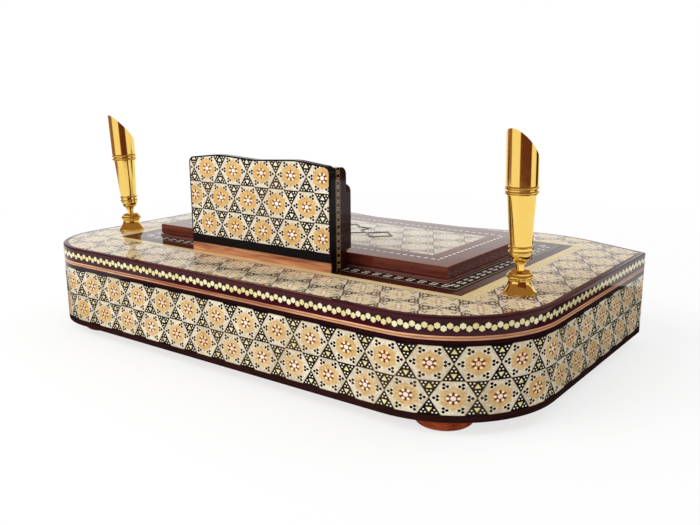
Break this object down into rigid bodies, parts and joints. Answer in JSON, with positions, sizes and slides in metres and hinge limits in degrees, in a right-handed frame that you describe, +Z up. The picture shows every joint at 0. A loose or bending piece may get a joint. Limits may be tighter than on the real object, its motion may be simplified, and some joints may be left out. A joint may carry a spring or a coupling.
{
  "type": "desk pen box",
  "caption": "Low marquetry desk box with a wavy front, hinged lid over a compartment, upright card holder and two swivelling brass pen funnels.",
  "frame": {"origin": "on the table under the middle of the box's outline", "axes": "+X along the long side, +Y towards the user's wavy edge, away from the card holder, +Z up"},
  "size_m": [0.3074, 0.1964, 0.1242],
  "materials": {
    "carcass_wood": "plain sanded hardwood",
    "dark_lacquer": "dark wood under gloss lacquer",
    "maroon_wood": "maroon dyed wood under gloss lacquer",
    "light_wood": "light red-brown wood under gloss lacquer",
    "orange_wood": "orange-brown wood under gloss lacquer",
    "mahogany": "red-brown wood under gloss lacquer",
    "cream_inlay": "pale wood under gloss lacquer",
    "marquetry": "hexagon marquetry of wood, bone and brass under gloss lacquer",
    "felt": "red felt",
    "brass": "polished, gilt",
    "hinge_brass": "satin brass"
  },
  "bodies": {
    "root": {"carcass_walls": "carcass_wood", "bottom_board": "carcass_wood", "top_board": "carcass_wood", "compartment_walls": "carcass_wood", "holder_floor": "carcass_wood", "edge_moulding": "dark_lacquer", "black_stringing": "dark_lacquer", "plinth_strip": "dark_lacquer", "holder_front_board": "dark_lacquer", "holder_black_strip": "dark_lacquer", "pattern_border": "dark_lacquer", "maroon_stringing": "maroon_wood", "maroon_border": "maroon_wood", "holder_side_left": "maroon_wood", "holder_side_right": "maroon_wood", "holder_rear_board": "maroon_wood", "light_stringing": "light_wood", "foot_near_left": "orange_wood", "foot_near_right": "orange_wood", "foot_far_left": "orange_wood", "foot_far_right": "orange_wood", "holder_base_strip": "orange_wood", "lid_seat_frame": "mahogany", "cream_line": "cream_inlay", "holder_inlay_left": "cream_inlay", "holder_inlay_right": "cream_inlay", "side_marquetry": "marquetry", "top_marquetry": "marquetry", "holder_facing": "marquetry", "compartment_lining": "felt", "bead_inlay": "brass", "left_pen_foot": "brass", "left_pen_nut": "brass", "left_pen_ring": "brass", "right_pen_foot": "brass", "right_pen_nut": "brass", "right_pen_ring": "brass", "hinge_fixed_leaf_left": "hinge_brass", "hinge_fixed_leaf_right": "hinge_brass", "hinge_pin_left": "hinge_brass", "hinge_pin_right": "hinge_brass"},
    "lid": {"lid_board": "mahogany", "lid_marquetry": "marquetry", "lid_inlay_line": "cream_inlay", "lid_ornament": "dark_lacquer", "lid_lip": "mahogany", "hinge_lid_leaf_left": "hinge_brass", "hinge_lid_leaf_right": "hinge_brass"},
    "left_swivel": {"left_socket_cup": "brass"},
    "left_stem": {"left_ball_stem": "brass"},
    "left_funnel": {"left_funnel_cone": "brass", "left_funnel_collar": "brass", "left_funnel_tube": "brass"},
    "right_swivel": {"right_socket_cup": "brass"},
    "right_stem": {"right_ball_stem": "brass"},
    "right_funnel": {"right_funnel_cone": "brass", "right_funnel_collar": "brass", "right_funnel_tube": "brass"}
  },
  "joints": [
    {"name": "lid_hinge", "type": "hinge", "parent": "root", "child": "lid", "pos_m": [0, -0.0404, 0.06055], "axis": [1, 0, 0], "range_deg": [0, 97]},
    {"name": "left_pen_swivel", "type": "hinge", "parent": "root", "child": "left_swivel", "pos_m": [-0.13545, -0.04045, 0.0579], "axis": [0, 0, 1], "continuous": true},
    {"name": "left_pen_tilt", "type": "hinge", "parent": "left_swivel", "child": "left_stem", "pos_m": [-0.13545, -0.04045, 0.0579], "axis": [0, 1, 0], "range_deg": [-16, 24]},
    {"name": "left_pen_spin", "type": "hinge", "parent": "left_stem", "child": "left_funnel", "pos_m": [-0.13545, -0.04045, 0.0579], "axis": [-0.0698, 0, 0.9976], "continuous": true},
    {"name": "right_pen_swivel", "type": "hinge", "parent": "root", "child": "right_swivel", "pos_m": [0.1336, -0.04045, 0.0579], "axis": [0, 0, 1], "continuous": true},
    {"name": "right_pen_tilt", "type": "hinge", "parent": "right_swivel", "child": "right_stem", "pos_m": [0.1336, -0.04045, 0.0579], "axis": [0, 1, 0], "range_deg": [-18.8, 21.2]},
    {"name": "right_pen_spin", "type": "hinge", "parent": "right_stem", "child": "right_funnel", "pos_m": [0.1336, -0.04045, 0.0579], "axis": [-0.0209, 0, 0.9998], "continuous": true}
  ]
}
